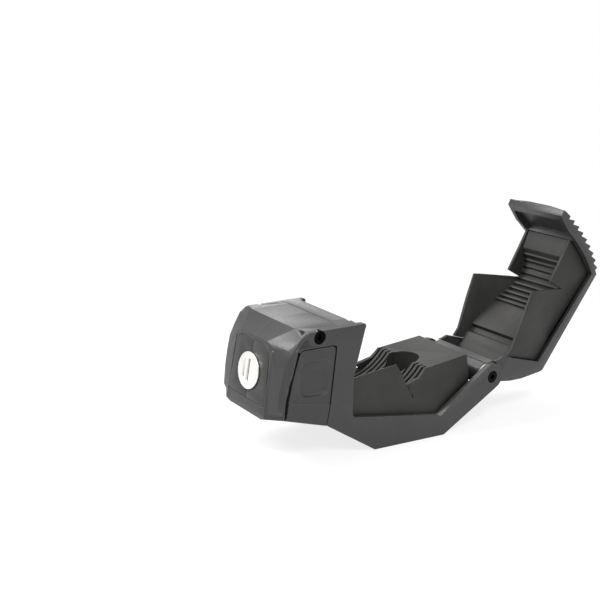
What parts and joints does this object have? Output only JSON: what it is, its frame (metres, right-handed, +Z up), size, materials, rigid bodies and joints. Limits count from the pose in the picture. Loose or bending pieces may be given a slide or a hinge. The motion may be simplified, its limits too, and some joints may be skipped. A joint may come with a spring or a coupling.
{
  "type": "tool holder",
  "caption": "Lockable clamp that holds a long tool handle on a vehicle roof rack, with finned rubber jaws and a hinged ratchet lid.",
  "frame": {"origin": "centre of the flat mounting foot, on its underside", "axes": "+X from the locking head towards the hinge, +Y across the clamp along the held handle, +Z up from the foot"},
  "size_m": [0.221, 0.055, 0.1139],
  "materials": {
    "shell_plastic": "fine grained, matte",
    "trim_plastic": "satin",
    "button_plastic": "satin",
    "catch_plastic": "matte",
    "bush_plastic": "satin",
    "jaw_rubber": "dull",
    "lock_face": "satin",
    "lock_metal": "satin",
    "spring_steel": "drawn",
    "screw_steel": "zinc plated",
    "black_screw": "black oxide"
  },
  "bodies": {
    "base": {"near_shell": "shell_plastic", "far_shell": "shell_plastic", "escutcheon": "trim_plastic", "lock_housing": "lock_metal", "head_screw": "black_screw", "head_nut": "screw_steel", "hinge_tube": "screw_steel", "near_hinge_screw": "black_screw", "far_hinge_screw": "black_screw", "near_bush": "bush_plastic", "far_bush": "bush_plastic", "bolt_bush": "bush_plastic", "lower_jaw": "jaw_rubber", "near_button_spring": "spring_steel", "far_button_spring": "spring_steel", "near_catch_spring": "spring_steel", "far_catch_spring": "spring_steel"},
    "lid": {"lid": "shell_plastic", "upper_jaw": "jaw_rubber"},
    "near_button": {"near_button": "button_plastic"},
    "far_button": {"far_button": "button_plastic"},
    "catch": {"catch": "catch_plastic"},
    "lock_cylinder": {"lock_barrel": "lock_face", "lock_shutter": "lock_metal", "lock_cam": "lock_metal", "cam_screw": "screw_steel"}
  },
  "joints": [
    {"name": "lid_hinge", "type": "hinge", "parent": "base", "child": "lid", "pos_m": [0.0542, 0, 0.0273], "axis": [0, 1, 0], "range_deg": [-126, 0]},
    {"name": "near_button_press", "type": "slide", "parent": "base", "child": "near_button", "axis": [0, 1, 0], "range_m": [0, 0.0032], "stiffness_N_per_m": 900, "springref_m": -0.002, "deforming": ["near_button_spring"]},
    {"name": "far_button_press", "type": "slide", "parent": "base", "child": "far_button", "axis": [0, -1, 0], "range_m": [0, 0.0032], "deforming": ["far_button_spring"]},
    {"name": "catch_slide", "type": "slide", "parent": "base", "child": "catch", "axis": [-1, 0, 0], "range_m": [0, 0.0027], "deforming": ["near_catch_spring", "far_catch_spring"]},
    {"name": "lock_turn", "type": "hinge", "parent": "base", "child": "lock_cylinder", "pos_m": [-0.08128, 0, 0.0415], "axis": [0.9934, 0, -0.1149], "range_deg": [0, 90]}
  ],
  "couplings": [
    {"joint": "far_button_press", "follows": "near_button_press", "ratio": 1},
    {"joint": "catch_slide", "follows": "near_button_press", "ratio": 0.84375}
  ]
}
